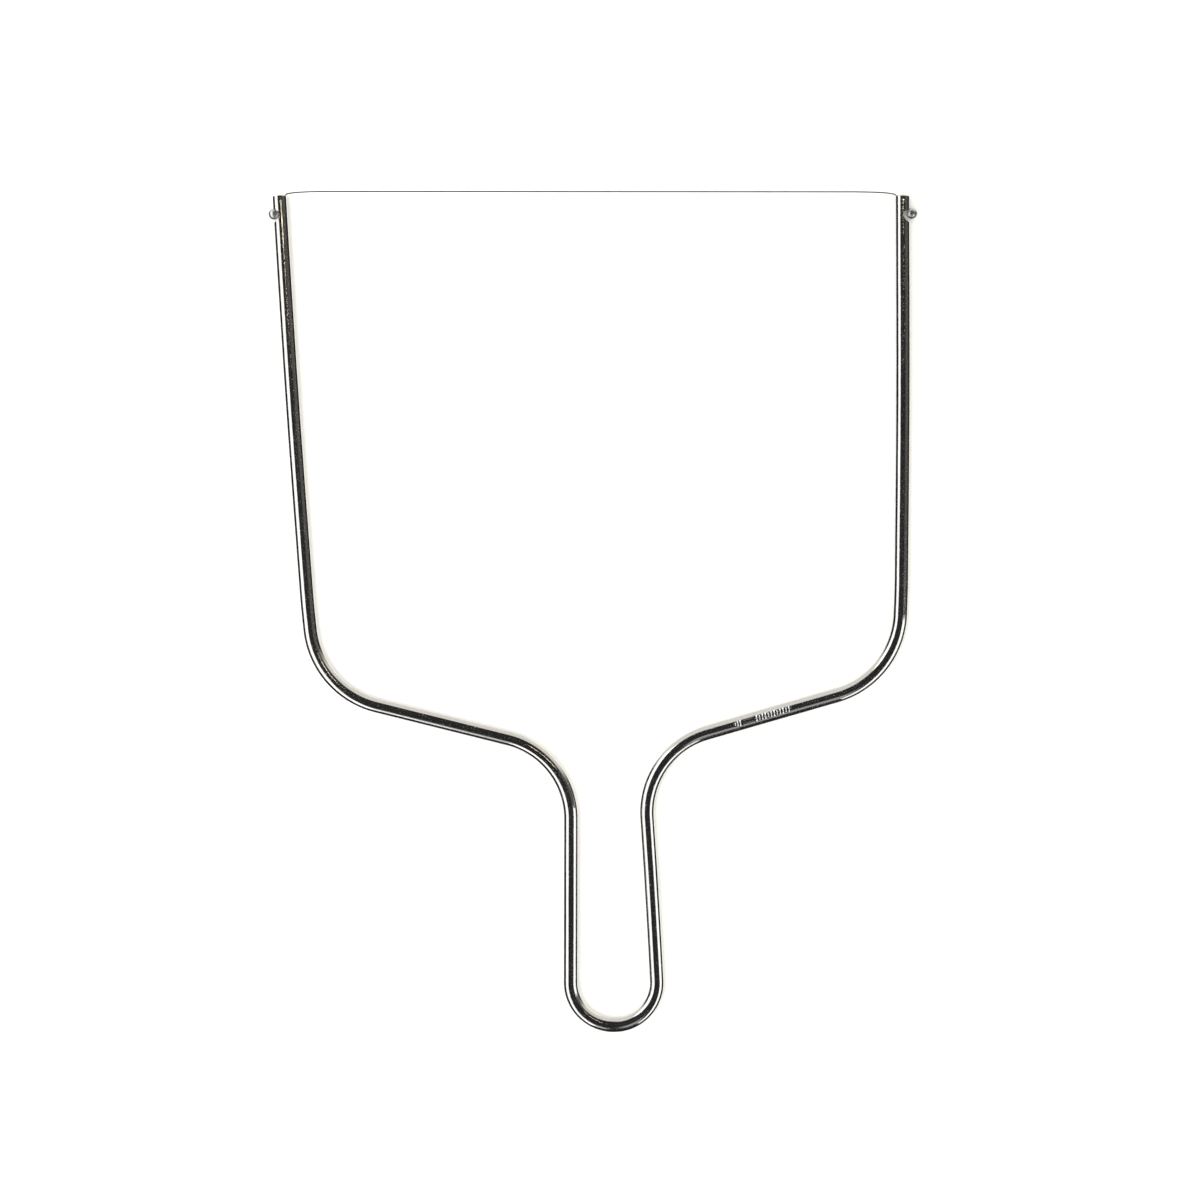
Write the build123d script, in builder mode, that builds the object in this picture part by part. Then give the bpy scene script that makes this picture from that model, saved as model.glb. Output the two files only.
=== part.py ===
from build123d import *
import math
import os

# Hand-held wire cutter: one bent round rod holds a thin wire tight between its two tips.
# The bow lies in the XY plane with its underside on Z = 0, handle towards -Y, tips towards +Y.

# The bent rod, mm
rod_dia = 5.0
overall_length = 301.0  # end of the handle to the faces of the tips
tip_spacing = 224.3  # all spacings are between the rod's centres
tip_chamfer = 0.35
left_shoulder_height = 122.8  # all heights are above the end of the handle
right_shoulder_height = 127.4
left_shoulder_inset = 13.4  # shoulder's corner, in from the tip's line
right_shoulder_inset = 1.7
shoulder_bend = 31.7
arm_bulge = 0.95  # the arms bow this far outwards of a straight line
root_curve = 300.0
left_neck_height = 100.0
right_neck_height = 101.0
neck_gap = 25.7  # between the legs at the neck
neck_offset = 5.7  # middle of that gap, right of the tips' middle
neck_bend = 29.8
leg_bulge = 0.4
handle_width = 31.9  # between the legs at the end of the handle
handle_offset = 8.6
handle_flat = 0.3  # straight left between the loop's two quarter bends

# The wire, its ball stops and their seats in the tips, mm
wire_dia = 0.45
wire_rise = 1.3  # straight part of the wire, above the tips
wire_bend = 1.0
exit_run = 0.55  # straight wire past the tip's inner edge
rise_steps = [(2.9, 0.68), (7.5, 0.91), (14.0, 1.0)]  # in from the tip, share of the rise
ball_dia = 4.0
stop_skin = 0.5  # ball left solid beyond the end of the wire
left_ball_out = 2.3  # ball's centre, outside the rod's centre
right_ball_out = 3.2
recess_radius = 2.85
recess_out = 1.4
recess_drop = 7.1  # recess's centre below the tip's face
slit_clearance = 0.3

# Values that follow from them
rod_radius = rod_dia / 2
wire_radius = wire_dia / 2
ball_radius = ball_dia / 2
slit_width = wire_dia + slit_clearance
over_cut = rod_dia  # cutters reach this far past the rod


def turn(a, b, c):
    """Degrees that a route through three points turns at the middle one."""
    return (b - a).get_angle(c - b)


def widest_bend(a, b, c, share=0.45):
    """Radius that uses up this share of the shorter run beside b."""
    shorter = min((b - a).length, (c - b).length)
    return share * shorter / math.tan(math.radians(turn(a, b, c) / 2))


def bowed(start, end, height, bulge):
    """Point at a height on the line from start to end, set sideways by the bulge."""
    share = (height - start.Y) / (end.Y - start.Y)
    return start + (end - start) * share + Vector(bulge, 0)


class Tip:
    """One end of the rod: where it is, which way it points and what sits in it."""

    def __init__(self, face, below, outward, ball_out):
        self.face = face
        self.up = (face - below).normalized()
        self.out = self.up.cross(Vector(0, 0, 1)) * outward
        self.recess = self.at(recess_out, -recess_drop)
        lip_out = math.sqrt(rod_radius**2 - (slit_width / 2) ** 2)
        lip_up = math.sqrt(recess_radius**2 - (lip_out - recess_out) ** 2 - (slit_width / 2) ** 2)
        hang = math.sqrt(ball_radius**2 - (ball_out - lip_out) ** 2 - (slit_width / 2) ** 2)
        self.ball = self.at(ball_out, lip_up - hang - recess_drop)
        self.edge = self.at(-rod_radius, 0)
        reach = self.edge - self.ball
        tilt = math.asin(wire_radius / reach.length)
        self.wire_way = reach.rotate(Axis.Z, -outward * math.degrees(tilt)).normalized()
        self.wire_exit = self.ball + self.wire_way * reach.length * math.cos(tilt)
        self.wire_end = self.ball - self.wire_way * (ball_radius - stop_skin)
        self.inward = -outward

    def at(self, out, up):
        """Point this far out from the rod's centre and up from its face."""
        return self.face + self.out * out + self.up * up

    def slit_outline(self):
        """Slit's outline: its slanted floor carries the wire, the rest is open."""
        floor_low = self.ball + (self.edge - self.wire_exit)
        floor_high = self.edge + self.wire_way * over_cut
        outer_low = self.at(over_cut, (self.ball - self.face).dot(self.up))
        outer_high = self.at(over_cut, over_cut)
        return [floor_low, floor_high, outer_high, outer_low]

    def wire_corners(self):
        """Wire's corners from its end in the ball to the start of its straight part."""
        corners = [self.wire_end, self.wire_exit + self.wire_way * exit_run]
        for inset, share in rise_steps:
            corners.append(self.wire_exit + Vector(self.inward * inset, wire_rise * share))
        return corners


# Corners of the rod's centreline, from the left tip round to the right one
tip_height = overall_length
left_face = Vector(-tip_spacing / 2, tip_height)
right_face = Vector(tip_spacing / 2, tip_height)
left_shoulder = Vector(left_face.X + left_shoulder_inset, left_shoulder_height)
right_shoulder = Vector(right_face.X - right_shoulder_inset, right_shoulder_height)
left_root_height = left_shoulder_height + shoulder_bend
right_root_height = right_shoulder_height + shoulder_bend
left_root = bowed(left_face, left_shoulder, left_root_height, -arm_bulge)
left_arm = bowed(left_face, left_shoulder, (tip_height + left_root_height) / 2, -arm_bulge)
right_root = bowed(right_face, right_shoulder, right_root_height, arm_bulge)
right_arm = bowed(right_face, right_shoulder, (tip_height + right_root_height) / 2, arm_bulge)
left_neck = Vector(neck_offset - neck_gap / 2, left_neck_height)
right_neck = Vector(neck_offset + neck_gap / 2, right_neck_height)
left_foot = Vector(handle_offset - handle_width / 2, rod_radius)
right_foot = Vector(handle_offset + handle_width / 2, rod_radius)
right_leg = bowed(right_foot, right_neck, (rod_radius + right_neck_height) / 2, leg_bulge)
left_turn = turn(left_neck, left_foot, right_foot)
right_turn = turn(left_foot, right_foot, right_leg)
bend_reach = math.tan(math.radians(left_turn / 2)) + math.tan(math.radians(right_turn / 2))
handle_bend = (handle_width - handle_flat) / bend_reach
rod_corners = [
    left_face, left_arm, left_root, left_shoulder, left_neck, left_foot,
    right_foot, right_leg, right_neck, right_shoulder, right_root, right_arm, right_face,
]
rod_bends = [
    widest_bend(left_face, left_arm, left_root), root_curve, shoulder_bend, neck_bend, handle_bend,
    handle_bend, widest_bend(right_foot, right_leg, right_neck), neck_bend, shoulder_bend,
    root_curve, widest_bend(right_root, right_arm, right_face),
]

left_tip = Tip(left_face, left_arm, -1, left_ball_out)
right_tip = Tip(right_face, right_arm, 1, right_ball_out)
left_corners = left_tip.wire_corners()
right_corners = right_tip.wire_corners()

# The origin stands under the middle of the whole object's box
middle_x = (left_tip.ball.X + right_tip.ball.X) / 2
middle_y = (left_corners[-1].Y + wire_radius) / 2
bow = Plane(origin=(-middle_x, -middle_y, rod_radius))


def start_of(route):
    """Plane square to a route at its first corner."""
    return Plane(bow.from_local_coords(route[0]), z_dir=route[1] - route[0])



# The bent rod, then the seats in its tips
with BuildPart(bow) as frame_rod:
    with BuildLine(bow) as centreline:
        FilletPolyline(*rod_corners, radius=rod_bends)
    with BuildSketch(start_of(rod_corners)):
        Circle(rod_radius)
    sweep(path=centreline.wire().moved(bow.location))
    chamfer(frame_rod.edges().sort_by(Axis.Y)[-2:], tip_chamfer)
    for tip in (left_tip, right_tip):
        with BuildSketch(bow):
            with BuildLine():
                Polyline(*tip.slit_outline(), close=True)
            make_face()
        extrude(amount=slit_width / 2, both=True, mode=Mode.SUBTRACT)
        with Locations(tip.recess):
            Sphere(recess_radius, mode=Mode.SUBTRACT)
frame_rod.part.label = "frame_rod"

# The cutting wire, from inside one ball to inside the other
wire_route = left_corners + right_corners[::-1]
wire_bends = [
    widest_bend(*wire_route[i - 1:i + 2]) for i in range(1, len(wire_route) - 1)
]
wire_bends[0] = wire_bends[-1] = wire_bend
with BuildPart() as cutting_wire:
    with BuildLine(bow) as wire_line:
        FilletPolyline(*wire_route, radius=wire_bends)
    with BuildSketch(start_of(wire_route)):
        Circle(wire_radius)
    sweep(path=wire_line.wire().moved(bow.location))
cutting_wire.part.label = "cutting_wire"


def ball_stop(tip):
    """Ball with the blind bore that grips the end of the wire."""
    with BuildPart(bow) as stop:
        with Locations(tip.ball):
            Sphere(ball_radius)
        with BuildSketch(start_of([tip.wire_end, tip.wire_exit])):
            Circle(wire_radius)
        extrude(amount=ball_dia, mode=Mode.SUBTRACT)
    return stop


ball_stop_left = ball_stop(left_tip)
ball_stop_left.part.label = "ball_stop_left"
ball_stop_right = ball_stop(right_tip)
ball_stop_right.part.label = "ball_stop_right"

print("wire length", round(wire_line.wire().length, 1), "mm")
print("rod length", round(centreline.wire().length, 1), "mm")

os.makedirs("parts", exist_ok=True)
for piece in (frame_rod, cutting_wire, ball_stop_left, ball_stop_right):
    export_step(piece.part, f"parts/{piece.part.label}.step")
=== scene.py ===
import math
import bpy
import bmesh
import numpy as np
from mathutils import Matrix, Vector


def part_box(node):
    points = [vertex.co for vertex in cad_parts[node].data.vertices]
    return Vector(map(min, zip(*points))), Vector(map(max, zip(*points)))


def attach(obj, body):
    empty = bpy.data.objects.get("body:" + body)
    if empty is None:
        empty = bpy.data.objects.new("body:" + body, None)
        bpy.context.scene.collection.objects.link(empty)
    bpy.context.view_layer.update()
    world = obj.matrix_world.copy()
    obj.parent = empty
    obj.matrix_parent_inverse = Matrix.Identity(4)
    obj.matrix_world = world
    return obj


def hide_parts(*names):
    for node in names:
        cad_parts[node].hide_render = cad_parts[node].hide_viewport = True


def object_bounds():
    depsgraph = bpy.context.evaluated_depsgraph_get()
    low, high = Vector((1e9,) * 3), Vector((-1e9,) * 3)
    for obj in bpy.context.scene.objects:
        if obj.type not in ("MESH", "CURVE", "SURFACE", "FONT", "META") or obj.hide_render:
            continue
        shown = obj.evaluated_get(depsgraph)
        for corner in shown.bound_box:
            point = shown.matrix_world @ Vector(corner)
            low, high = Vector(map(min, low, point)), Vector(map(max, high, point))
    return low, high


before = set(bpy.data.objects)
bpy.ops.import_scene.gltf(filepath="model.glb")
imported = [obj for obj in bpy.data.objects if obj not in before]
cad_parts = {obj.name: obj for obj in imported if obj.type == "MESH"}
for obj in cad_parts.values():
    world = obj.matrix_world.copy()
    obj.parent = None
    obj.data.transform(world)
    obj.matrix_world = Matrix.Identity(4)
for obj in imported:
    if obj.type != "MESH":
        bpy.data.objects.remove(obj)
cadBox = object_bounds()
mm = 0.001
smoothAngle = 35     # sharper edges than this stay crisp, in degrees
onPlane = 0.0000005  # how close to a plane counts as lying on it


def clearSelection():
    if bpy.context.object and bpy.context.object.mode != "OBJECT":
        bpy.ops.object.mode_set(mode="OBJECT")
    bpy.ops.object.select_all(action="DESELECT")


def pickOnly(piece):
    clearSelection()
    piece.select_set(True)
    bpy.context.view_layer.objects.active = piece


def settle(piece):
    # the place goes into the mesh, the object goes to the origin
    pickOnly(piece)
    bpy.ops.object.transform_apply(location=True, rotation=True, scale=True)


def selectVerts(piece, test):
    # in edit mode: keep only the vertices that pass
    bpy.ops.mesh.select_mode(type="VERT")
    bpy.ops.mesh.select_all(action="DESELECT")
    shape = bmesh.from_edit_mesh(piece.data)
    for vert in shape.verts:
        vert.select = bool(test(vert.co))
    shape.select_flush(True)
    bmesh.update_edit_mesh(piece.data)


def applyModifier(piece, kind, **settings):
    pickOnly(piece)
    modifier = piece.modifiers.new(kind.lower(), kind)
    for name, value in settings.items():
        setattr(modifier, name, value)
    bpy.ops.object.modifier_apply(modifier=modifier.name)


def cutAway(piece, cutter):
    # the cut faces take the cutter's own finish
    applyModifier(piece, "BOOLEAN", operation="DIFFERENCE", solver="EXACT",
                  material_mode="TRANSFER", object=cutter)
    bpy.data.objects.remove(cutter)


# lights that stand near the table: the polished rod sees them from each place a little differently
softboxes = {
    "leftWindow": {"low": (-0.73, 0, 0.10), "high": (-0.474, 0, 0.607), "from": -1.7,
                   "to": 0.62, "glow": 1.35, "tint": (1.0, 1.0, 1.0)},
    "rightWindow": {"low": (0.52, 0, 0.02), "high": (0.50, 0, 0.40), "from": -1.1,
                    "to": -0.035, "glow": 1.35, "tint": (1.0, 1.0, 1.0)},
}


def addSoftbox(name, spec):
    # a lit rectangle between its low and high edge, facing the table's middle
    low, high = Vector(spec["low"]), Vector(spec["high"])
    middle = (low + high) / 2
    middle.y = (spec["from"] + spec["to"]) / 2
    length = spec["to"] - spec["from"]
    rise = high - low
    side = math.copysign(1, middle.x)
    face = Vector((-side * rise.z, 0, side * rise.x)).normalized()
    bpy.ops.object.light_add(type="AREA", location=middle,
                             rotation=face.to_track_quat("-Z", "Y").to_euler())
    box = bpy.context.object
    box.name = name
    box.data.shape = "RECTANGLE"
    box.data.size = length
    box.data.size_y = (high - low).length
    box.data.energy = spec["glow"] * math.pi * length * (high - low).length
    box.data.color = spec["tint"]
    box.visible_camera = False


studio = {
    "pictureWidth": 0.432,      # how much of the table the picture shows across
    "cameraHeight": 1.2025,
    "rodMiddle": 0.0025,
    "sensor": 36.0,
    "aimX": 0.0026,
    "aimY": 0.0041,
    "floorSize": 6.0,
    "panelSize": 3.0,
    "panelHeight": 1.6,
    "panelPower": 30.0,
    "panelTint": (1.0, 0.98, 0.90),
    "keyTint": (0.95, 0.97, 1.0),
    "lampPlace": (0.45, 0.380, 1.5),
    "lampSize": (0.50, 0.024),
    "lampTurn": 0.08,
    "lampGlow": 7.0,
    "lampTint": (1.0, 0.87, 0.62),
    "keyPlace": (-0.50, -0.32, 1.25),
    "keySize": 0.3,
    "keyPower": 3.0,
    "tableColour": (0.93, 0.93, 0.92, 1),
    "tableRough": 0.9,
    "tableShine": 0.1,
}


def makeStudio():
    bpy.context.scene.view_settings.view_transform = "Standard"
    bpy.ops.object.camera_add(location=(studio["aimX"], studio["aimY"], studio["cameraHeight"]))
    camera = bpy.context.object
    camera.name = "camera"
    camera.data.sensor_width = studio["sensor"]
    # the picture's width is measured where the rod's middle lies
    camera.data.lens = (studio["sensor"] * (studio["cameraHeight"] - studio["rodMiddle"])
                        / studio["pictureWidth"])
    bpy.context.scene.camera = camera

    bpy.ops.mesh.primitive_plane_add(size=studio["floorSize"], location=(0, 0, cadBox[0].z))
    floor = bpy.context.object
    floor.name = "floor"
    floor.visible_glossy = False
    paint = bpy.data.materials.new("paleTable")
    paint.use_nodes = True
    shader = paint.node_tree.nodes["Principled BSDF"]
    shader.inputs["Base Color"].default_value = studio["tableColour"]
    shader.inputs["Roughness"].default_value = studio["tableRough"]
    shader.inputs["Specular IOR Level"].default_value = studio["tableShine"]
    floor.data.materials.append(paint)

    bpy.ops.object.light_add(type="AREA", location=(0, 0, studio["panelHeight"]))
    panel = bpy.context.object
    panel.name = "overheadPanel"
    panel.data.size = studio["panelSize"]
    panel.data.energy = studio["panelPower"]
    panel.data.color = studio["panelTint"]
    panel.visible_glossy = False
    panel.visible_camera = False
    # the key light leans over from the near left, so the rod shades the table on its far right
    bpy.ops.object.light_add(type="AREA", location=studio["keyPlace"])
    key = bpy.context.object
    key.name = "keyLight"
    key.rotation_euler = (-Vector(studio["keyPlace"])).to_track_quat("-Z", "Y").to_euler()
    key.data.size = studio["keySize"]
    key.data.energy = studio["keyPower"]
    key.data.color = studio["keyTint"]
    key.visible_glossy = False
    key.visible_camera = False
    # a warm lamp high over the far right, only seen where the polish mirrors it
    bpy.ops.object.light_add(type="AREA", location=studio["lampPlace"])
    lamp = bpy.context.object
    lamp.name = "warmLamp"
    lamp.rotation_euler.z = studio["lampTurn"]
    lamp.data.shape = "RECTANGLE"
    lamp.data.size, lamp.data.size_y = studio["lampSize"]
    lamp.data.energy = (studio["lampGlow"] * math.pi * studio["lampSize"][0]
                        * studio["lampSize"][1])
    lamp.data.color = studio["lampTint"]
    lamp.visible_camera = False
    for name, spec in softboxes.items():
        addSoftbox(name, spec)
    print("studio ready")


# the rest of the room, as the rod sees it: compass middle and half width, then how far
# down from overhead it starts and ends, all in degrees
roomPanels = {
    "leftFar": {"middle": 128, "half": 34, "soft": 10, "top": 56, "bottom": 86,
                "fade": 6, "glow": 0.80, "tint": (1.0, 1.0, 1.0)},
    "rightFill": {"middle": 18, "half": 34, "soft": 16, "top": 40, "bottom": 92,
                  "fade": 8, "glow": 0.075, "tint": (1.0, 0.95, 0.86)},
    "nearStrip": {"middle": -110, "half": 13, "soft": 6, "top": 50, "bottom": 80,
                  "fade": 6, "glow": 0.50, "tint": (1.0, 1.0, 1.0)},
    "tableRight": {"middle": 0, "half": 66, "soft": 10, "top": 147, "bottom": 200,
                   "fade": 6, "glow": 1.6, "tint": (1.0, 0.98, 0.93)},
    "tableLeft": {"middle": 180, "half": 80, "soft": 10, "top": 146, "bottom": 200,
                  "fade": 6, "glow": 1.2, "tint": (1.0, 0.98, 0.93)},
    "nearGlow": {"middle": -70, "half": 12, "soft": 7, "top": 30, "bottom": 62,
                 "fade": 8, "glow": 0.36, "tint": (1.0, 1.0, 1.0)},
    "backdrop": {"middle": 88, "half": 60, "soft": 10, "top": 66, "bottom": 200,
                 "fade": 6, "glow": 0.80, "tint": (1.0, 0.975, 0.90)},
}
ceilingGlow = 0.022
plainWall = (0.66, 0.65, 0.605, 1)


def makeRoom():
    # the room is only seen as reflections; the camera itself sees a plain pale wall
    world = bpy.data.worlds.new("room")
    bpy.context.scene.world = world
    world.use_nodes = True
    nodes = world.node_tree.nodes
    links = world.node_tree.links
    nodes.clear()

    def reckon(kind, a, b=None):
        node = nodes.new("ShaderNodeMath")
        node.operation = kind
        for slot, value in enumerate((a, b)):
            if value is None:
                continue
            if isinstance(value, (int, float)):
                node.inputs[slot].default_value = value
            else:
                links.new(value, node.inputs[slot])
        return node.outputs[0]

    def ramp(value, low, high):
        # smooth rise from 0 at low to 1 at high
        node = nodes.new("ShaderNodeMapRange")
        node.interpolation_type = "SMOOTHSTEP"
        node.inputs["From Min"].default_value = min(low, high)
        node.inputs["From Max"].default_value = max(low, high)
        node.inputs["To Min"].default_value = 0 if low < high else 1
        node.inputs["To Max"].default_value = 1 if low < high else 0
        links.new(value, node.inputs["Value"])
        return node.outputs["Result"]

    way = nodes.new("ShaderNodeTexCoord").outputs["Generated"]
    split = nodes.new("ShaderNodeSeparateXYZ")
    links.new(way, split.inputs[0])
    x, y, z = split.outputs
    down = reckon("MULTIPLY", reckon("ARCCOSINE", z), 180 / math.pi)
    compass = reckon("MULTIPLY", reckon("ARCTAN2", y, x), 180 / math.pi)

    total = None
    for name, spec in roomPanels.items():
        # angle away from the panel's middle, 0 to 180
        turned = reckon("ADD", compass, 540 - spec["middle"])
        away = reckon("ABSOLUTE", reckon("SUBTRACT", reckon("MODULO", turned, 360), 180))
        side = ramp(away, spec["half"] + spec["soft"], spec["half"] - spec["soft"])
        start = ramp(down, spec["top"] - spec["fade"], spec["top"] + spec["fade"])
        end = ramp(down, spec["bottom"] + spec["fade"], spec["bottom"] - spec["fade"])
        amount = reckon("MULTIPLY", reckon("MULTIPLY", side, start), end)
        tint = nodes.new("ShaderNodeVectorMath")
        tint.operation = "SCALE"
        tint.inputs[0].default_value = [part * spec["glow"] for part in spec["tint"]]
        links.new(amount, tint.inputs["Scale"])
        if total is None:
            total = tint.outputs[0]
        else:
            brighter = nodes.new("ShaderNodeVectorMath")
            brighter.operation = "MAXIMUM"
            links.new(total, brighter.inputs[0])
            links.new(tint.outputs[0], brighter.inputs[1])
            total = brighter.outputs[0]
    lifted = nodes.new("ShaderNodeVectorMath")
    lifted.operation = "ADD"
    lifted.inputs[1].default_value = (ceilingGlow, ceilingGlow, ceilingGlow)
    links.new(total, lifted.inputs[0])

    mirror = nodes.new("ShaderNodeBackground")
    links.new(lifted.outputs[0], mirror.inputs["Color"])
    plain = nodes.new("ShaderNodeBackground")
    plain.inputs["Color"].default_value = plainWall
    mix = nodes.new("ShaderNodeMixShader")
    path = nodes.new("ShaderNodeLightPath")
    links.new(path.outputs["Is Glossy Ray"], mix.inputs["Fac"])
    links.new(plain.outputs[0], mix.inputs[1])
    links.new(mirror.outputs[0], mix.inputs[2])
    out = nodes.new("ShaderNodeOutputWorld")
    links.new(mix.outputs[0], out.inputs["Surface"])
    print("room ready")


def bentRoute(corners, bends):
    # straight and round stretches of a route whose corners are bent to these radii
    stretches = []
    at = corners[0]
    for before, corner, after, radius in zip(corners, corners[1:], corners[2:], bends):
        inWay = (corner - before).normalized()
        outWay = (after - corner).normalized()
        turn = math.atan2(inWay.x * outWay.y - inWay.y * outWay.x, inWay.dot(outWay))
        reach = radius * math.tan(abs(turn) / 2)
        start = corner - inWay * reach
        side = Vector((-inWay.y, inWay.x, 0)) * math.copysign(1, turn)
        stretches.append({"from": at, "to": start})
        stretches.append({"from": start, "to": corner + outWay * reach,
                          "centre": start + side * radius, "turn": turn})
        at = corner + outWay * reach
    stretches.append({"from": at, "to": corners[-1]})
    return stretches


def drawTube(name, stretches, radius, sides, ringStep, turnStep):
    # a ring at the start of the route, drawn along it: pulled on the straights, spun in the bends
    first = stretches[0]
    way = (first["to"] - first["from"]).normalized()
    turnTo = Vector((0, 0, 1)).rotation_difference(way).to_euler()
    clearSelection()
    bpy.ops.mesh.primitive_circle_add(vertices=sides, radius=radius, fill_type="NOTHING",
                                      location=first["from"], rotation=turnTo)
    tube = bpy.context.object
    tube.name = name
    settle(tube)
    bpy.ops.object.mode_set(mode="EDIT")
    bpy.ops.mesh.select_all(action="SELECT")
    for stretch in stretches:
        if "centre" in stretch:
            steps = max(3, math.ceil(abs(math.degrees(stretch["turn"])) / turnStep))
            bpy.ops.mesh.spin(steps=steps, angle=-stretch["turn"], center=stretch["centre"],
                              axis=(0, 0, 1), use_auto_merge=False)
            continue
        run = stretch["to"] - stretch["from"]
        steps = max(1, math.ceil(run.length / ringStep))
        for step in range(steps):
            bpy.ops.mesh.extrude_edges_move(TRANSFORM_OT_translate={"value": run / steps})
    last = stretches[-1]["to"]
    shape = bmesh.from_edit_mesh(tube.data)
    ends = [sum((v.co for v in shape.verts if v.select), Vector()) / sides]
    print(name, "ends", round((ends[0] - last).length / mm, 4), "mm from its mark")
    for end in (first["from"], last):
        selectVerts(tube, lambda co: (co - end).length < radius * 1.01)
        bpy.ops.mesh.edge_face_add()
    bpy.ops.mesh.select_all(action="SELECT")
    bpy.ops.mesh.normals_make_consistent(inside=False)
    bpy.ops.object.mode_set(mode="OBJECT")
    return tube


def roundEnds(tube, ends, radius, size):
    pickOnly(tube)
    bpy.ops.object.mode_set(mode="EDIT")
    for end in ends:
        selectVerts(tube, lambda co: (co - end).length < radius * 1.01)
        bpy.ops.mesh.bevel(offset=size, offset_type="OFFSET", segments=4, profile=0.5,
                           affect="EDGES")
    bpy.ops.object.mode_set(mode="OBJECT")


def wrapAlong(tube, stretches, radius):
    # lays a map over the tube: U runs along it, V round it, both in metres
    mesh = tube.data
    co = np.empty(len(mesh.vertices) * 3)
    mesh.vertices.foreach_get("co", co)
    co = co.reshape(-1, 3)
    nearest = np.full(len(co), 1e9)
    along = np.zeros(len(co))
    aside = np.zeros(len(co))
    gone = 0.0
    middle = stretches[0]["from"].z
    for stretch in stretches:
        a = np.array(stretch["from"])
        b = np.array(stretch["to"])
        if "centre" in stretch:
            c = np.array(stretch["centre"])
            turn = stretch["turn"]
            bend = np.linalg.norm((a - c)[:2])
            rel = co - c
            ang = np.sign(turn) * np.arctan2(
                (a - c)[0] * rel[:, 1] - (a - c)[1] * rel[:, 0], rel[:, :2] @ (a - c)[:2])
            part = np.clip(ang / abs(turn), 0, 1)
            out = (np.linalg.norm(rel[:, :2], axis=1) - bend) * np.sign(turn)
            length = bend * abs(turn)
            off = np.hypot(np.abs(out), (ang / abs(turn) - part) * length)
        else:
            run = b - a
            length = np.linalg.norm(run)
            run = run / length
            reach = (co - a) @ run
            part = np.clip(reach / length, 0, 1)
            out = -((co - a)[:, 1] * run[0] - (co - a)[:, 0] * run[1])
            off = np.hypot(np.abs(out), reach - part * length)
        closer = off < nearest
        nearest[closer] = off[closer]
        along[closer] = gone + part[closer] * length
        aside[closer] = out[closer]
        gone += length
    around = np.arctan2(aside, co[:, 2] - middle)
    layer = mesh.uv_layers.new(name="alongRod")
    corner = np.empty(len(mesh.loops), int)
    mesh.loops.foreach_get("vertex_index", corner)
    u = along[corner]
    v = around[corner]
    # faces that cross the seam underneath keep their corners together
    for face in mesh.polygons:
        span = list(face.loop_indices)
        if v[span].max() - v[span].min() > math.pi:
            for loop in span:
                if v[loop] < 0:
                    v[loop] += 2 * math.pi
    layer.data.foreach_set("uv", np.column_stack([u, v * radius]).ravel())


# sizes in mm, the same as the CAD's
rod = {
    "diameter": 5.0, "length": 301.0, "tipSpacing": 224.3, "tipRound": 0.35,
    "leftShoulderHeight": 122.8, "rightShoulderHeight": 127.4,
    "leftShoulderInset": 13.4, "rightShoulderInset": 1.7,
    "shoulderBend": 31.7, "armBulge": 0.95, "rootCurve": 300.0,
    "leftNeckHeight": 100.0, "rightNeckHeight": 101.0,
    "neckGap": 25.7, "neckOffset": 5.7, "neckBend": 29.8,
    "legBulge": 0.4, "handleWidth": 31.9, "handleOffset": 8.6, "handleFlat": 0.3,
    "sides": 96, "ringStep": 2.0, "turnStep": 2.0,
}
wire = {
    "diameter": 0.45, "rise": 1.3, "bend": 1.0, "exitRun": 0.55,
    "riseSteps": [(2.9, 0.68), (7.5, 0.91), (14.0, 1.0)],
    "slitClearance": 0.3, "endRound": 0.04, "sides": 24, "ringStep": 6.0, "turnStep": 4.0,
}
stop = {
    "diameter": 4.0, "skin": 0.5, "leftOut": 2.3, "rightOut": 3.2,
    "recessRadius": 2.85, "recessOut": 1.4, "recessDrop": 7.1,
}


def turnAt(a, b, c):
    return (b - a).angle(c - b)


def widestBend(a, b, c, share=0.45):
    return share * min((b - a).length, (c - b).length) / math.tan(turnAt(a, b, c) / 2)


def bowed(start, end, height, bulge):
    share = (height - start.y) / (end.y - start.y)
    return start + (end - start) * share + Vector((bulge, 0, 0))


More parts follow.
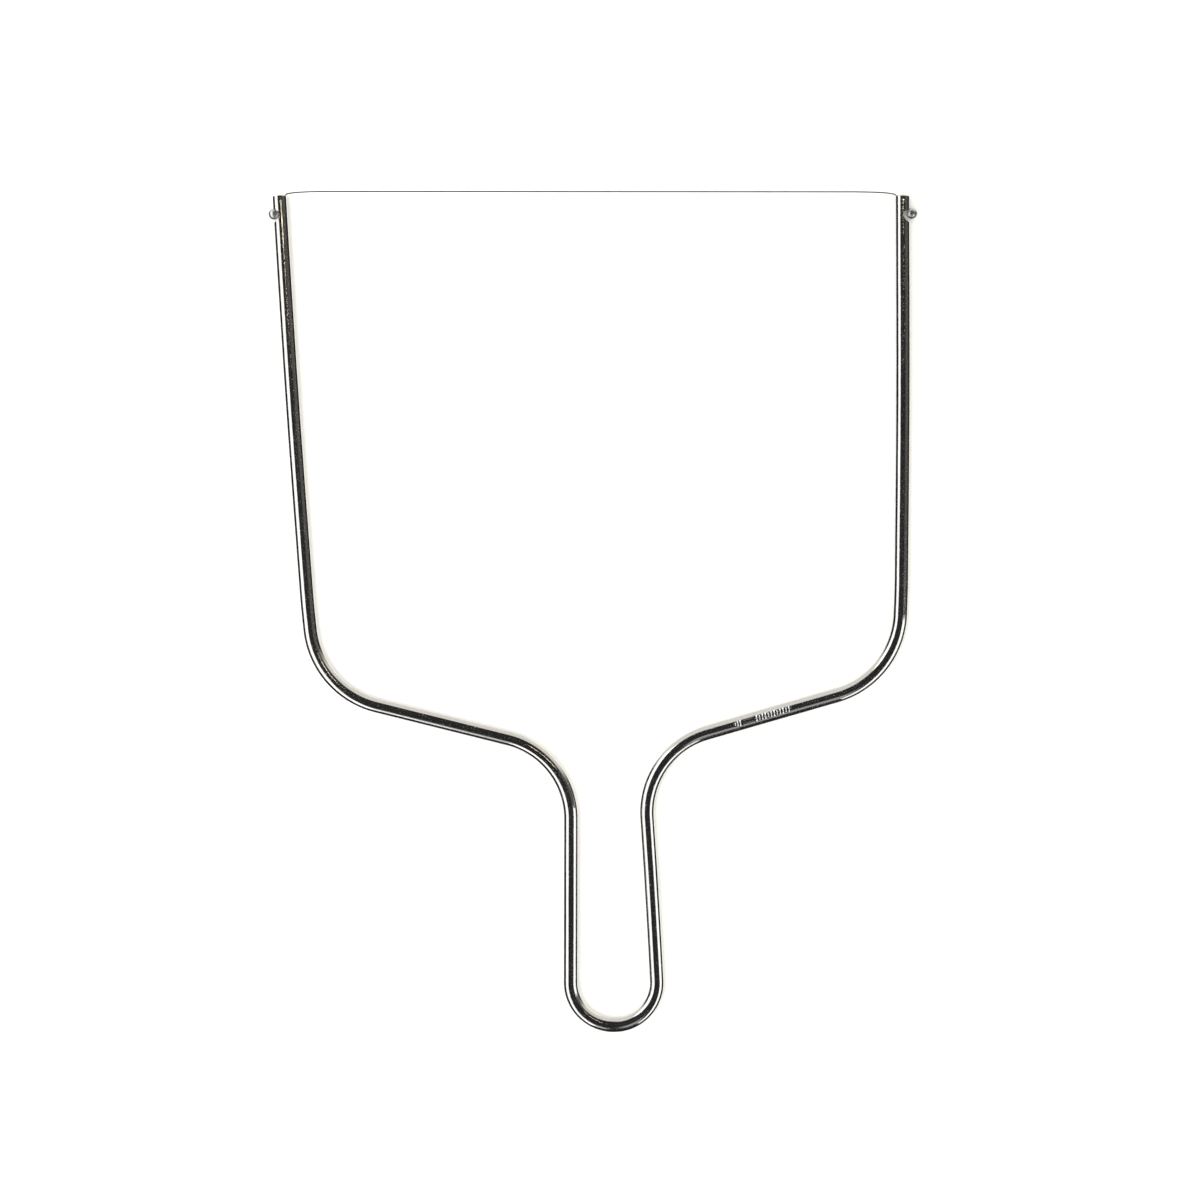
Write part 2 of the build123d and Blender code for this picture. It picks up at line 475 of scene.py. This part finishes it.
def rodRoute():
    # corners and bends of the rod's middle line in mm, handle's end at Y = 0
    half = rod["diameter"] / 2
    top = rod["length"]
    leftFace = Vector((-rod["tipSpacing"] / 2, top, 0))
    rightFace = Vector((rod["tipSpacing"] / 2, top, 0))
    leftShoulder = Vector((leftFace.x + rod["leftShoulderInset"], rod["leftShoulderHeight"], 0))
    rightShoulder = Vector((rightFace.x - rod["rightShoulderInset"],
                            rod["rightShoulderHeight"], 0))
    leftRootY = leftShoulder.y + rod["shoulderBend"]
    rightRootY = rightShoulder.y + rod["shoulderBend"]
    bulge = rod["armBulge"]
    leftRoot = bowed(leftFace, leftShoulder, leftRootY, -bulge)
    leftArm = bowed(leftFace, leftShoulder, (top + leftRootY) / 2, -bulge)
    rightRoot = bowed(rightFace, rightShoulder, rightRootY, bulge)
    rightArm = bowed(rightFace, rightShoulder, (top + rightRootY) / 2, bulge)
    leftNeck = Vector((rod["neckOffset"] - rod["neckGap"] / 2, rod["leftNeckHeight"], 0))
    rightNeck = Vector((rod["neckOffset"] + rod["neckGap"] / 2, rod["rightNeckHeight"], 0))
    leftFoot = Vector((rod["handleOffset"] - rod["handleWidth"] / 2, half, 0))
    rightFoot = Vector((rod["handleOffset"] + rod["handleWidth"] / 2, half, 0))
    rightLeg = bowed(rightFoot, rightNeck, (half + rightNeck.y) / 2, rod["legBulge"])
    reach = (math.tan(turnAt(leftNeck, leftFoot, rightFoot) / 2)
             + math.tan(turnAt(leftFoot, rightFoot, rightLeg) / 2))
    loop = (rod["handleWidth"] - rod["handleFlat"]) / reach
    corners = [leftFace, leftArm, leftRoot, leftShoulder, leftNeck, leftFoot,
               rightFoot, rightLeg, rightNeck, rightShoulder, rightRoot, rightArm, rightFace]
    bends = [widestBend(leftFace, leftArm, leftRoot), rod["rootCurve"], rod["shoulderBend"],
             rod["neckBend"], loop, loop, widestBend(rightFoot, rightLeg, rightNeck),
             rod["neckBend"], rod["shoulderBend"], rod["rootCurve"],
             widestBend(rightRoot, rightArm, rightFace)]
    return corners, bends


def tipPlan(face, below, outward, ballOut):
    # everything that sits in one tip of the rod, in mm
    half = rod["diameter"] / 2
    slit = (wire["diameter"] + wire["slitClearance"]) / 2
    up = (face - below).normalized()
    out = up.cross(Vector((0, 0, 1))) * outward

    def spot(outBy, upBy):
        return face + out * outBy + up * upBy

    lipOut = math.sqrt(half ** 2 - slit ** 2)
    lipUp = math.sqrt(stop["recessRadius"] ** 2 - (lipOut - stop["recessOut"]) ** 2 - slit ** 2)
    hang = math.sqrt((stop["diameter"] / 2) ** 2 - (ballOut - lipOut) ** 2 - slit ** 2)
    ball = spot(ballOut, lipUp - hang - stop["recessDrop"])
    edge = spot(-half, 0)
    reach = edge - ball
    tilt = math.asin(wire["diameter"] / 2 / reach.length)
    way = (Matrix.Rotation(-outward * tilt, 3, "Z") @ reach).normalized()
    wireExit = ball + way * reach.length * math.cos(tilt)
    wireEnd = ball - way * (stop["diameter"] / 2 - stop["skin"])
    corners = [wireEnd, wireExit + way * wire["exitRun"]]
    for inset, share in wire["riseSteps"]:
        corners.append(wireExit + Vector((-outward * inset, wire["rise"] * share, 0)))
    return {"up": up, "out": out, "spot": spot, "ball": ball, "edge": edge, "way": way,
            "wireExit": wireExit, "wireCorners": corners,
            "recess": spot(stop["recessOut"], -stop["recessDrop"])}


cornersOfRod, bendsOfRod = rodRoute()
leftTip = tipPlan(cornersOfRod[0], cornersOfRod[1], -1, stop["leftOut"])
rightTip = tipPlan(cornersOfRod[-1], cornersOfRod[-2], 1, stop["rightOut"])
rodLow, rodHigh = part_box("frame_rod")
ballLow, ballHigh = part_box("ball_stop_left")
# the handle's end and the left ball tell where the CAD has put the object
origin = Vector(((ballLow.x + ballHigh.x) / 2 - leftTip["ball"].x * mm,
                 rodLow.y, (rodLow.z + rodHigh.z) / 2))


def placed(point):
    return origin + point * mm


def placedRoute(corners, bends):
    return bentRoute([placed(point) for point in corners], [bend * mm for bend in bends])


makeStudio()
makeRoom()


class Paint:
    # a node tree for one finish, with short ways to add its nodes
    def __init__(self, name):
        self.material = bpy.data.materials.new(name)
        self.material.use_nodes = True
        self.tree = self.material.node_tree
        self.shader = self.tree.nodes["Principled BSDF"]
        self.shader.inputs["Metallic"].default_value = 1.0

    def add(self, kind, links=None, **settings):
        node = self.tree.nodes.new("ShaderNode" + kind)
        for name, value in settings.items():
            setattr(node, name, value)
        for socket, source in (links or {}).items():
            if isinstance(source, bpy.types.NodeSocket):
                self.tree.links.new(source, node.inputs[socket])
            else:
                node.inputs[socket].default_value = source
        return node

    def stretched(self, source, scale):
        return self.add("Mapping", {"Vector": source, "Scale": scale}).outputs["Vector"]

    def noise(self, place, scale=1.0, detail=3.0, rough=0.55):
        return self.add("TexNoise", {"Vector": place, "Scale": scale, "Detail": detail,
                                     "Roughness": rough}).outputs["Fac"]

    def between(self, value, low, high, fromLow=0.3, fromHigh=0.7):
        return self.add("MapRange", {"Value": value, "From Min": fromLow,
                                     "From Max": fromHigh, "To Min": low,
                                     "To Max": high}).outputs["Result"]

    def tint(self, value, stops):
        node = self.add("ValToRGB", {"Fac": value})
        for mark, (place, colour) in zip(node.color_ramp.elements, stops):
            mark.position = place
            mark.color = colour
        return node.outputs["Color"]

    def bump(self, height, depth, after=None):
        links = {"Height": height, "Strength": 1.0, "Distance": depth}
        if after is not None:
            links["Normal"] = after
        return self.add("Bump", links).outputs["Normal"]

    def finish(self, colour, rough, normal):
        self.tree.links.new(colour, self.shader.inputs["Base Color"])
        self.tree.links.new(rough, self.shader.inputs["Roughness"])
        self.tree.links.new(normal, self.shader.inputs["Normal"])
        return self.material


polish = {
    "colour": [(0.30, (0.70, 0.69, 0.68, 1)), (0.70, (0.86, 0.855, 0.84, 1))],
    "along": 30.0, "across": 1400.0,        # drawing lines, per metre
    "rough": (0.035, 0.20), "speckleRough": 0.26,
    "waveAlong": 90.0, "waveAcross": 160.0, "waveDepth": 0.00004,
    "lineDepth": 0.000009,
    "speckle": 1500.0, "speckleDepth": 0.000007,
    "patchAlong": 260, "patchAcross": 420,
}


def makePolish():
    paint = Paint("polishedSteel")
    wrap = paint.add("UVMap", uv_map="alongRod").outputs["UV"]
    lines = paint.noise(paint.stretched(wrap, (polish["along"], polish["across"], 1)), 1, 4)
    speckle = paint.noise(paint.stretched(wrap, (polish["speckle"], polish["speckle"], 1)),
                          1, 2, 0.7)
    patch = paint.noise(paint.stretched(wrap, (polish["patchAlong"], polish["patchAcross"], 1)),
                        1, 5, 0.65)
    wave = paint.noise(paint.stretched(wrap, (polish["waveAlong"], polish["waveAcross"], 1)),
                       1, 1)
    mixed = paint.add("Math", {0: speckle, 1: patch}, operation="ADD").outputs[0]
    half = paint.add("Math", {0: mixed, 1: 0.5}, operation="MULTIPLY").outputs[0]
    colour = paint.tint(half, polish["colour"])
    scuffs = paint.add("Math", {0: lines, 1: patch}, operation="ADD").outputs[0]
    rough = paint.between(scuffs, *polish["rough"], 0.8, 1.3)
    spots = paint.between(speckle, 0, polish["speckleRough"], 0.58, 0.70)
    rough = paint.add("Math", {0: rough, 1: spots}, operation="ADD").outputs[0]
    normal = paint.bump(wave, polish["waveDepth"])
    normal = paint.bump(lines, polish["lineDepth"], normal)
    normal = paint.bump(speckle, polish["speckleDepth"], normal)
    return paint.finish(colour, rough, normal)


drawn = {
    "colour": [(0.35, (0.17, 0.167, 0.163, 1)), (0.70, (0.30, 0.295, 0.29, 1))],
    "along": 60.0, "across": 9000.0,
    "rough": (0.20, 0.38), "lineDepth": 0.0000015,
}


def makeDrawn():
    paint = Paint("drawnSteel")
    wrap = paint.add("UVMap", uv_map="alongRod").outputs["UV"]
    lines = paint.noise(paint.stretched(wrap, (drawn["along"], drawn["across"], 1)), 1, 4)
    return paint.finish(paint.tint(lines, drawn["colour"]),
                        paint.between(lines, *drawn["rough"]),
                        paint.bump(lines, drawn["lineDepth"]))


tumbled = {
    "colour": [(0.32, (0.64, 0.64, 0.65, 1)), (0.72, (0.88, 0.88, 0.88, 1))],
    "grain": 1500.0, "pits": 900.0, "pitDepth": 0.000006,
    "rough": (0.28, 0.42),
}


def makeTumbled():
    paint = Paint("tumbledSteel")
    place = paint.add("TexCoord").outputs["Object"]
    grain = paint.noise(place, tumbled["grain"], 5, 0.7)
    pits = paint.add("TexVoronoi", {"Vector": place, "Scale": tumbled["pits"]}).outputs[
        "Distance"]
    deep = paint.between(pits, 0, 1, 0.05, 0.35)
    normal = paint.bump(deep, tumbled["pitDepth"])
    return paint.finish(paint.tint(grain, tumbled["colour"]),
                        paint.between(grain, *tumbled["rough"]), normal)


milled = {
    "colour": [(0.30, (0.80, 0.79, 0.77, 1)), (0.70, (0.93, 0.92, 0.90, 1))],
    "grain": 3200.0, "rough": (0.16, 0.32), "grainDepth": 0.000004,
}


def makeMilled():
    # where a tool has cut or stamped the rod
    paint = Paint("milledSteel")
    wrap = paint.add("UVMap", uv_map="alongRod").outputs["UV"]
    grain = paint.noise(paint.stretched(wrap, (milled["grain"], milled["grain"], 1)), 1, 4,
                        0.7)
    return paint.finish(paint.tint(grain, milled["colour"]),
                        paint.between(grain, *milled["rough"]),
                        paint.bump(grain, milled["grainDepth"]))


def clothe(piece, material, node):
    if material is not None:
        piece.data.materials.clear()
        piece.data.materials.append(material)
    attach(piece, "root")
    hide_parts(node)


def smoothOver(piece, angle):
    pickOnly(piece)
    bpy.ops.object.mode_set(mode="EDIT")
    bpy.ops.mesh.select_all(action="SELECT")
    bpy.ops.mesh.remove_doubles(threshold=onPlane)
    bpy.ops.mesh.normals_make_consistent(inside=False)
    bpy.ops.object.mode_set(mode="OBJECT")
    bpy.ops.object.shade_smooth_by_angle(angle=math.radians(angle))


def slitPlate(tip):
    # thin plate that saws the wire's way through the tip
    over = rod["diameter"]
    half = (wire["diameter"] + wire["slitClearance"]) / 2
    foot = (tip["ball"] - tip["spot"](0, 0)).dot(tip["up"])
    outline = [tip["ball"] + (tip["edge"] - tip["wireExit"]), tip["edge"] + tip["way"] * over,
               tip["spot"](over, over), tip["spot"](over, foot)]
    clearSelection()
    bpy.ops.mesh.primitive_circle_add(vertices=4, radius=mm, fill_type="NGON")
    plate = bpy.context.object
    for vert, corner in zip(plate.data.vertices, outline):
        vert.co = placed(corner - Vector((0, 0, half)))
    bpy.ops.object.mode_set(mode="EDIT")
    bpy.ops.mesh.select_all(action="SELECT")
    bpy.ops.mesh.extrude_region_move(
        TRANSFORM_OT_translate={"value": (0, 0, 2 * half * mm)})
    bpy.ops.mesh.select_all(action="SELECT")
    bpy.ops.mesh.normals_make_consistent(inside=False)
    bpy.ops.object.mode_set(mode="OBJECT")
    return plate


def recessBall(tip):
    clearSelection()
    bpy.ops.mesh.primitive_uv_sphere_add(segments=96, ring_count=64,
                                         radius=stop["recessRadius"] * mm,
                                         location=placed(tip["recess"]))
    cutter = bpy.context.object
    settle(cutter)
    return cutter


marks = {
    # a plain decorative stamp on the right shoulder: across in degrees round the rod's top
    "from": Vector((50.8, -40.55, 0)), "to": Vector((71.6, -35.35, 0)),
    "depth": 0.2, "lift": 0.08, "lean": -6.0, "half": 28.0, "line": 0.62,
    "fan": ((0.0, 0.5), (0.95, 0.85), (1.9, 1.0)),
    "pairSides": (-0.55, 0.55), "pairFrom": 3.3, "pairLength": 3.7, "pairWidth": 0.6,
    "uprightFrom": 8.0, "uprights": 12, "uprightStep": 1.1, "uprightReach": (1.0, 0.68, 0.9),
}


def vGroove(start, length, surface, depth, top):
    middle = start + length / 2
    reach = length / 2 * (top - surface + depth) / depth
    return [(middle - reach, top), (middle, surface - depth), (middle + reach, top)]


def stampStroke(at, way, axisLow, length, low, high, depth):
    # a small triangle spun round the rod's own axis
    centre = rod["diameter"] / 2
    clearSelection()
    bpy.ops.mesh.primitive_circle_add(vertices=3, fill_type="NGON")
    stroke = bpy.context.object
    side = way.cross(Vector((0, 0, 1)))

    def spot(along, out, angle):
        angle = math.radians(angle)
        return at + (way * along + side * out * math.sin(angle)
                     + Vector((0, 0, 1)) * out * math.cos(angle)) * mm

    top = centre + marks["lift"]
    for vert, (along, out) in zip(stroke.data.vertices,
                                  vGroove(axisLow, length, centre, depth, top)):
        vert.co = spot(along, out, low)
    bpy.ops.object.mode_set(mode="EDIT")
    bpy.ops.mesh.select_all(action="SELECT")
    steps = max(2, math.ceil((high - low) / 4))
    bpy.ops.mesh.spin(steps=steps, angle=math.radians(low - high), center=at, axis=way)
    bpy.ops.mesh.select_all(action="SELECT")
    bpy.ops.mesh.normals_make_consistent(inside=False)
    bpy.ops.object.mode_set(mode="OBJECT")
    return stroke


def joined(parts):
    clearSelection()
    for part in parts:
        part.select_set(True)
    bpy.context.view_layer.objects.active = parts[0]
    bpy.ops.object.join()
    return parts[0]


def stampLine(at, way, start, length, angle, width, depth):
    # a small triangle pulled along the rod
    surface = rod["diameter"] / 2
    side = way.cross(Vector((0, 0, 1)))
    angle = math.radians(angle)
    out = side * math.sin(angle) + Vector((0, 0, 1)) * math.cos(angle)
    across = out.cross(way)
    reach = width / 2 * (marks["lift"] + depth) / depth
    clearSelection()
    bpy.ops.mesh.primitive_circle_add(vertices=3, fill_type="NGON")
    line = bpy.context.object
    for vert, (aside, up) in zip(line.data.vertices,
                                 ((-reach, surface + marks["lift"]), (0, surface - depth),
                                  (reach, surface + marks["lift"]))):
        vert.co = at + (way * start + across * aside + out * up) * mm
    bpy.ops.object.mode_set(mode="EDIT")
    bpy.ops.mesh.select_all(action="SELECT")
    bpy.ops.mesh.extrude_region_move(TRANSFORM_OT_translate={"value": way * length * mm})
    bpy.ops.mesh.select_all(action="SELECT")
    bpy.ops.mesh.normals_make_consistent(inside=False)
    bpy.ops.object.mode_set(mode="OBJECT")
    return line


def stampCutters():
    start = marks["from"] * mm
    end = marks["to"] * mm
    middle = (start + end) / 2
    way = nearestWay(middle)
    at = nearestPoint(middle)
    span = (end - start).length / mm
    first = -span / 2
    lean, half, line = marks["lean"], marks["half"], marks["line"]
    strokes = []

    def bar(along, width, low, high):
        strokes.append(stampStroke(at, way, first + along, width, lean + low, lean + high,
                                   marks["depth"]))

    # a fan of short strokes, a pair of long lines, then upright strokes of two heights
    for place, reach in marks["fan"]:
        bar(place, line, -half * reach, half * reach)
    for aside in marks["pairSides"]:
        strokes.append(stampLine(at, way, first + marks["pairFrom"], marks["pairLength"],
                                 lean + half * aside, marks["pairWidth"], marks["depth"]))
    place = marks["uprightFrom"]
    for index in range(marks["uprights"]):
        reach = marks["uprightReach"][index % len(marks["uprightReach"])]
        bar(place, line, -half * reach, half * reach)
        place += marks["uprightStep"]
    return joined(strokes)


# small handling dents: place, lean in degrees, length and depth
nicks = [
    (Vector((-111.5, 123.6, 0)), -10, 0.5, 0.035),
    (Vector((-111.3, 122.2, 0)), 4, 0.3, 0.03),
    (Vector((-9.3, -127.3, 0)), -14, 0.4, 0.045),
    (Vector((-9.2, -126.2, 0)), 0, 0.25, 0.035),
    (Vector((-51.4, -40.9, 0)), 5, 0.4, 0.04),
]
nickHalf = 5


def nickCutters():
    dents = []
    for spot, lean, length, depth in nicks:
        at = nearestPoint(spot * mm)
        dents.append(stampStroke(at, nearestWay(spot * mm), -length / 2, length,
                                 lean - nickHalf, lean + nickHalf, depth))
    return joined(dents)


def nearestStretch(point):
    best = None
    for stretch in rodStretches:
        a, b = stretch["from"], stretch["to"]
        run = b - a
        flat = Vector((point.x, point.y, a.z))
        part = max(0, min(1, (flat - a).dot(run) / run.length_squared))
        spot = a + run * part
        gap = (flat - spot).length
        if best is None or gap < best[0]:
            best = (gap, spot, run.normalized())
    return best


def nearestPoint(point):
    return nearestStretch(point)[1]


def nearestWay(point):
    return nearestStretch(point)[2]


# the bent rod
rodStretches = placedRoute(cornersOfRod, bendsOfRod)
rodRadius = rod["diameter"] / 2 * mm
bentRod = drawTube("bentRod", rodStretches, rodRadius, rod["sides"], rod["ringStep"] * mm,
                   rod["turnStep"])
roundEnds(bentRod, (rodStretches[0]["from"], rodStretches[-1]["to"]), rodRadius,
          rod["tipRound"] * mm)
print("rod drawn and bent")
polishedSteel, milledSteel = makePolish(), makeMilled()
bentRod.data.materials.append(polishedSteel)


def cutRod(cutter, finish):
    cutter.data.materials.clear()
    cutter.data.materials.append(finish)
    cutAway(bentRod, cutter)


for tip in (leftTip, rightTip):
    cutRod(slitPlate(tip), milledSteel)
    cutRod(recessBall(tip), milledSteel)
print("slits and seats cut")
cutRod(stampCutters(), polishedSteel)
cutRod(nickCutters(), milledSteel)
print("stamp and dents cut")
smoothOver(bentRod, smoothAngle)
wrapAlong(bentRod, rodStretches, rodRadius)
clothe(bentRod, None, "frame_rod")
print("rod done", len(bentRod.data.polygons), "faces")

# the wire
wireCorners = leftTip["wireCorners"] + rightTip["wireCorners"][::-1]
wireBends = [widestBend(*three) for three in zip(wireCorners, wireCorners[1:],
                                                 wireCorners[2:])]
wireBends[0] = wireBends[-1] = wire["bend"]
wireStretches = placedRoute(wireCorners, wireBends)
wireRadius = wire["diameter"] / 2 * mm
cuttingWire = drawTube("cuttingWire", wireStretches, wireRadius, wire["sides"],
                       wire["ringStep"] * mm, wire["turnStep"])
roundEnds(cuttingWire, (wireStretches[0]["from"], wireStretches[-1]["to"]), wireRadius,
          wire["endRound"] * mm)
smoothOver(cuttingWire, smoothAngle)
wrapAlong(cuttingWire, wireStretches, wireRadius)
clothe(cuttingWire, makeDrawn(), "cutting_wire")
print("wire done", len(cuttingWire.data.polygons), "faces")

# the ball stops
tumbledSteel = makeTumbled()
ballShape = {"segments": 96, "rings": 64, "land": 0.06, "bore": 0.24,
             "punch": 0.03, "punchRim": 0.12, "punchDepth": 0.06, "ease": 0.02,
             "inside": 0.003}


def makeBall(name, tip, node):
    radius = (stop["diameter"] / 2 - ballShape["inside"]) * mm
    centre = placed(tip["ball"])
    way = tip["way"]
    turnTo = Vector((0, 0, 1)).rotation_difference(way).to_euler()
    clearSelection()
    bpy.ops.mesh.primitive_uv_sphere_add(segments=ballShape["segments"],
                                         ring_count=ballShape["rings"], radius=radius,
                                         location=centre, rotation=turnTo)
    ball = bpy.context.object
    ball.name = name
    settle(ball)
    bpy.ops.object.mode_set(mode="EDIT")
    # meant as a flat land with the bore in it, and a punch mark on the far side
    # known fault: bisect's default threshold, 0.1 mm, is more than these cuts are deep, so
    # the mesh comes out malformed; a smaller threshold should mend it, but hasn't been tried
    boreDepth = stop["diameter"] - stop["skin"] - ballShape["land"]
    for facing, land, rim, depth in ((way, ballShape["land"], None, boreDepth),
                                     (-way, ballShape["punch"], ballShape["punchRim"],
                                      ballShape["punchDepth"])):
        bpy.ops.mesh.select_all(action="SELECT")
        cut = centre + facing * (radius - land * mm)
        bpy.ops.mesh.bisect(plane_co=cut, plane_no=facing, use_fill=True, clear_outer=True)
        selectVerts(ball, lambda co: abs((co - cut).dot(facing)) < onPlane)
        bpy.ops.mesh.select_mode(type="FACE")
        across = math.sqrt(radius ** 2 - (radius - land * mm) ** 2)
        inner = ballShape["bore"] * mm if rim is None else across - rim * mm
        bpy.ops.mesh.inset(thickness=across - inner, use_even_offset=True)
        bpy.ops.mesh.extrude_region_move(
            TRANSFORM_OT_translate={"value": -facing * depth * mm})
    # ease the land's rim
    selectVerts(ball, lambda co: abs((co - (centre + way * (radius - ballShape["land"] * mm)))
                                     .dot(way)) < onPlane
                and (co - centre - way * (co - centre).dot(way)).length
                > ballShape["bore"] * 1.3 * mm)
    bpy.ops.mesh.bevel(offset=ballShape["ease"] * mm, segments=3, affect="EDGES")
    bpy.ops.object.mode_set(mode="OBJECT")
    smoothOver(ball, smoothAngle)
    clothe(ball, tumbledSteel, node)
    print(name, "done", len(ball.data.polygons), "faces")


makeBall("ballLeft", leftTip, "ball_stop_left")
makeBall("ballRight", rightTip, "ball_stop_right")
